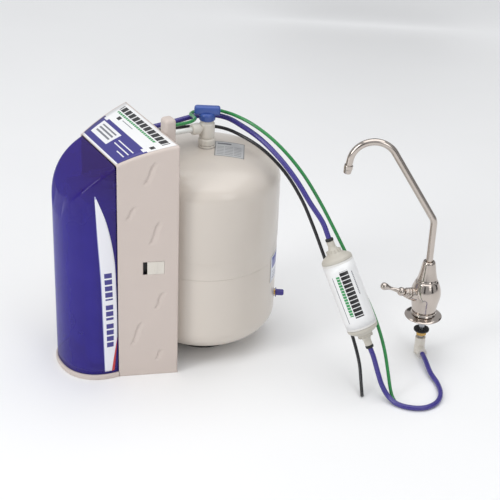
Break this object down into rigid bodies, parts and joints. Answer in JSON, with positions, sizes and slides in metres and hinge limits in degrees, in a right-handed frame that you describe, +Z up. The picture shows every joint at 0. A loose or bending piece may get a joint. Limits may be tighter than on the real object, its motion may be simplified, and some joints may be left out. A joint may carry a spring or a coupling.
{
  "type": "reverse osmosis unit",
  "caption": "Under-sink reverse osmosis unit: four cartridges behind a clear cover, pressure tank, inline post filter, gooseneck faucet and colour-coded tubes",
  "frame": {"origin": "on the floor under the housing, in the middle of the seam between the housing and its cover", "axes": "+Z up, the clear cover faces -Y, the pressure tank stands behind at +Y, +X to the right seen from the front"},
  "size_m": [0.5672, 0.684, 0.49],
  "materials": {
    "clear_cover": "deep indigo translucent moulded acrylic, polished",
    "housing_plastic": "warm grey-white moulded ABS, satin",
    "tank_steel": "almond epoxy paint on pressed steel, gloss",
    "black_plastic": "black moulded polypropylene",
    "bladder_rubber": "black butyl rubber",
    "rubber": "black rubber",
    "white_plastic": "white moulded polypropylene",
    "cartridge_plastic": "white moulded cartridge shell",
    "filter_shell": "white post filter shell with a printed band",
    "filter_cap": "grey-beige spin-welded cap",
    "blue_plastic": "blue moulded nylon",
    "stainless": "turned stainless steel",
    "brass": "turned brass",
    "green_tubing": "green polyethylene tubing",
    "black_tubing": "black polyethylene tubing",
    "blue_tubing": "violet-blue polyethylene tubing",
    "white_tubing": "natural white polyethylene tubing",
    "nickel": "polished nickel plate"
  },
  "bodies": {
    "unit": {"air_valve_stem": "brass", "base_tray": "housing_plastic", "black_tube": "black_tubing", "blue_tube_lower": "blue_tubing", "blue_tube_upper": "blue_tubing", "drain_port": "white_plastic", "faucet_body": "nickel", "faucet_bonnet": "nickel", "faucet_collar": "nickel", "faucet_elbow": "white_plastic", "faucet_flange": "nickel", "faucet_nut": "brass", "faucet_plastic_washer": "black_plastic", "faucet_rubber_washer": "rubber", "faucet_shank": "stainless", "filter_head": "white_plastic", "flow_restrictor": "white_plastic", "green_tube": "green_tubing", "head_screw_1": "stainless", "head_screw_2": "stainless", "head_screw_3": "stainless", "head_screw_4": "stainless", "outlet_boot": "housing_plastic", "post_filter_body": "filter_shell", "post_filter_cap_bottom": "filter_cap", "post_filter_cap_top": "filter_cap", "post_filter_collet_bottom": "white_plastic", "post_filter_collet_top": "white_plastic", "product_port": "white_plastic", "rear_housing": "housing_plastic", "shutoff_valve_body": "white_plastic", "shutoff_valve_cap": "white_plastic", "tank_base_ring": "black_plastic", "tank_bladder": "bladder_rubber", "tank_port": "white_plastic", "tank_shell_lower": "tank_steel", "tank_shell_upper": "tank_steel", "tank_stem": "stainless", "tank_tube": "white_tubing", "tank_valve_body": "white_plastic", "tank_valve_nut": "white_plastic"},
    "cover": {"front_cover": "clear_cover"},
    "latch_right": {"latch_tab_right": "white_plastic"},
    "latch_left": {"latch_tab_left": "white_plastic"},
    "sediment_cartridge": {"cartridge_sediment": "cartridge_plastic"},
    "carbon_cartridge": {"cartridge_carbon": "cartridge_plastic"},
    "carbon_block_cartridge": {"cartridge_carbon_block": "cartridge_plastic"},
    "membrane_cartridge": {"cartridge_membrane": "cartridge_plastic"},
    "valve_handle": {"tank_valve_handle": "blue_plastic", "tank_valve_ball": "stainless"},
    "air_cap": {"air_valve_cap": "blue_plastic"},
    "spout": {"faucet_spout": "nickel", "faucet_spout_tip": "nickel"},
    "lever": {"faucet_lever": "nickel"}
  },
  "joints": [
    {"name": "cover_slide", "type": "slide", "parent": "unit", "child": "cover", "axis": [0, -1, 0], "range_m": [0, 0.12]},
    {"name": "latch_right_press", "type": "slide", "parent": "unit", "child": "latch_right", "axis": [-0.9478, 0.3189, 0], "range_m": [0, 0.003], "stiffness_N_per_m": 800},
    {"name": "latch_left_press", "type": "slide", "parent": "unit", "child": "latch_left", "axis": [0.9478, 0.3189, 0], "range_m": [0, 0.003], "stiffness_N_per_m": 800},
    {"name": "sediment_turn", "type": "hinge", "parent": "unit", "child": "sediment_cartridge", "pos_m": [0.034, -0.017, 0.2], "axis": [0, 0, 1], "range_deg": [0, 90]},
    {"name": "carbon_turn", "type": "hinge", "parent": "unit", "child": "carbon_cartridge", "pos_m": [-0.034, -0.017, 0.2], "axis": [0, 0, 1], "range_deg": [0, 90]},
    {"name": "carbon_block_turn", "type": "hinge", "parent": "unit", "child": "carbon_block_cartridge", "pos_m": [0.034, 0.042, 0.2], "axis": [0, 0, 1], "range_deg": [0, 90]},
    {"name": "membrane_turn", "type": "hinge", "parent": "unit", "child": "membrane_cartridge", "pos_m": [-0.034, 0.042, 0.2], "axis": [0, 0, 1], "range_deg": [0, 90]},
    {"name": "valve_turn", "type": "hinge", "parent": "unit", "child": "valve_handle", "pos_m": [0, 0.21652, 0.46], "axis": [0, 0, 1], "range_deg": [0, 90]},
    {"name": "air_cap_turn", "type": "hinge", "parent": "unit", "child": "air_cap", "pos_m": [0.0695, 0.3369, 0.094], "axis": [0.5, 0.866, 0], "continuous": true},
    {"name": "spout_swivel", "type": "hinge", "parent": "unit", "child": "spout", "pos_m": [0.258, 0.562, 0.2], "axis": [0, 0, 1], "continuous": true},
    {"name": "lever_turn", "type": "hinge", "parent": "unit", "child": "lever", "pos_m": [0.258, 0.562, 0.126], "axis": [-0.1036, -0.922, 0.373], "range_deg": [0, 90]}
  ]
}
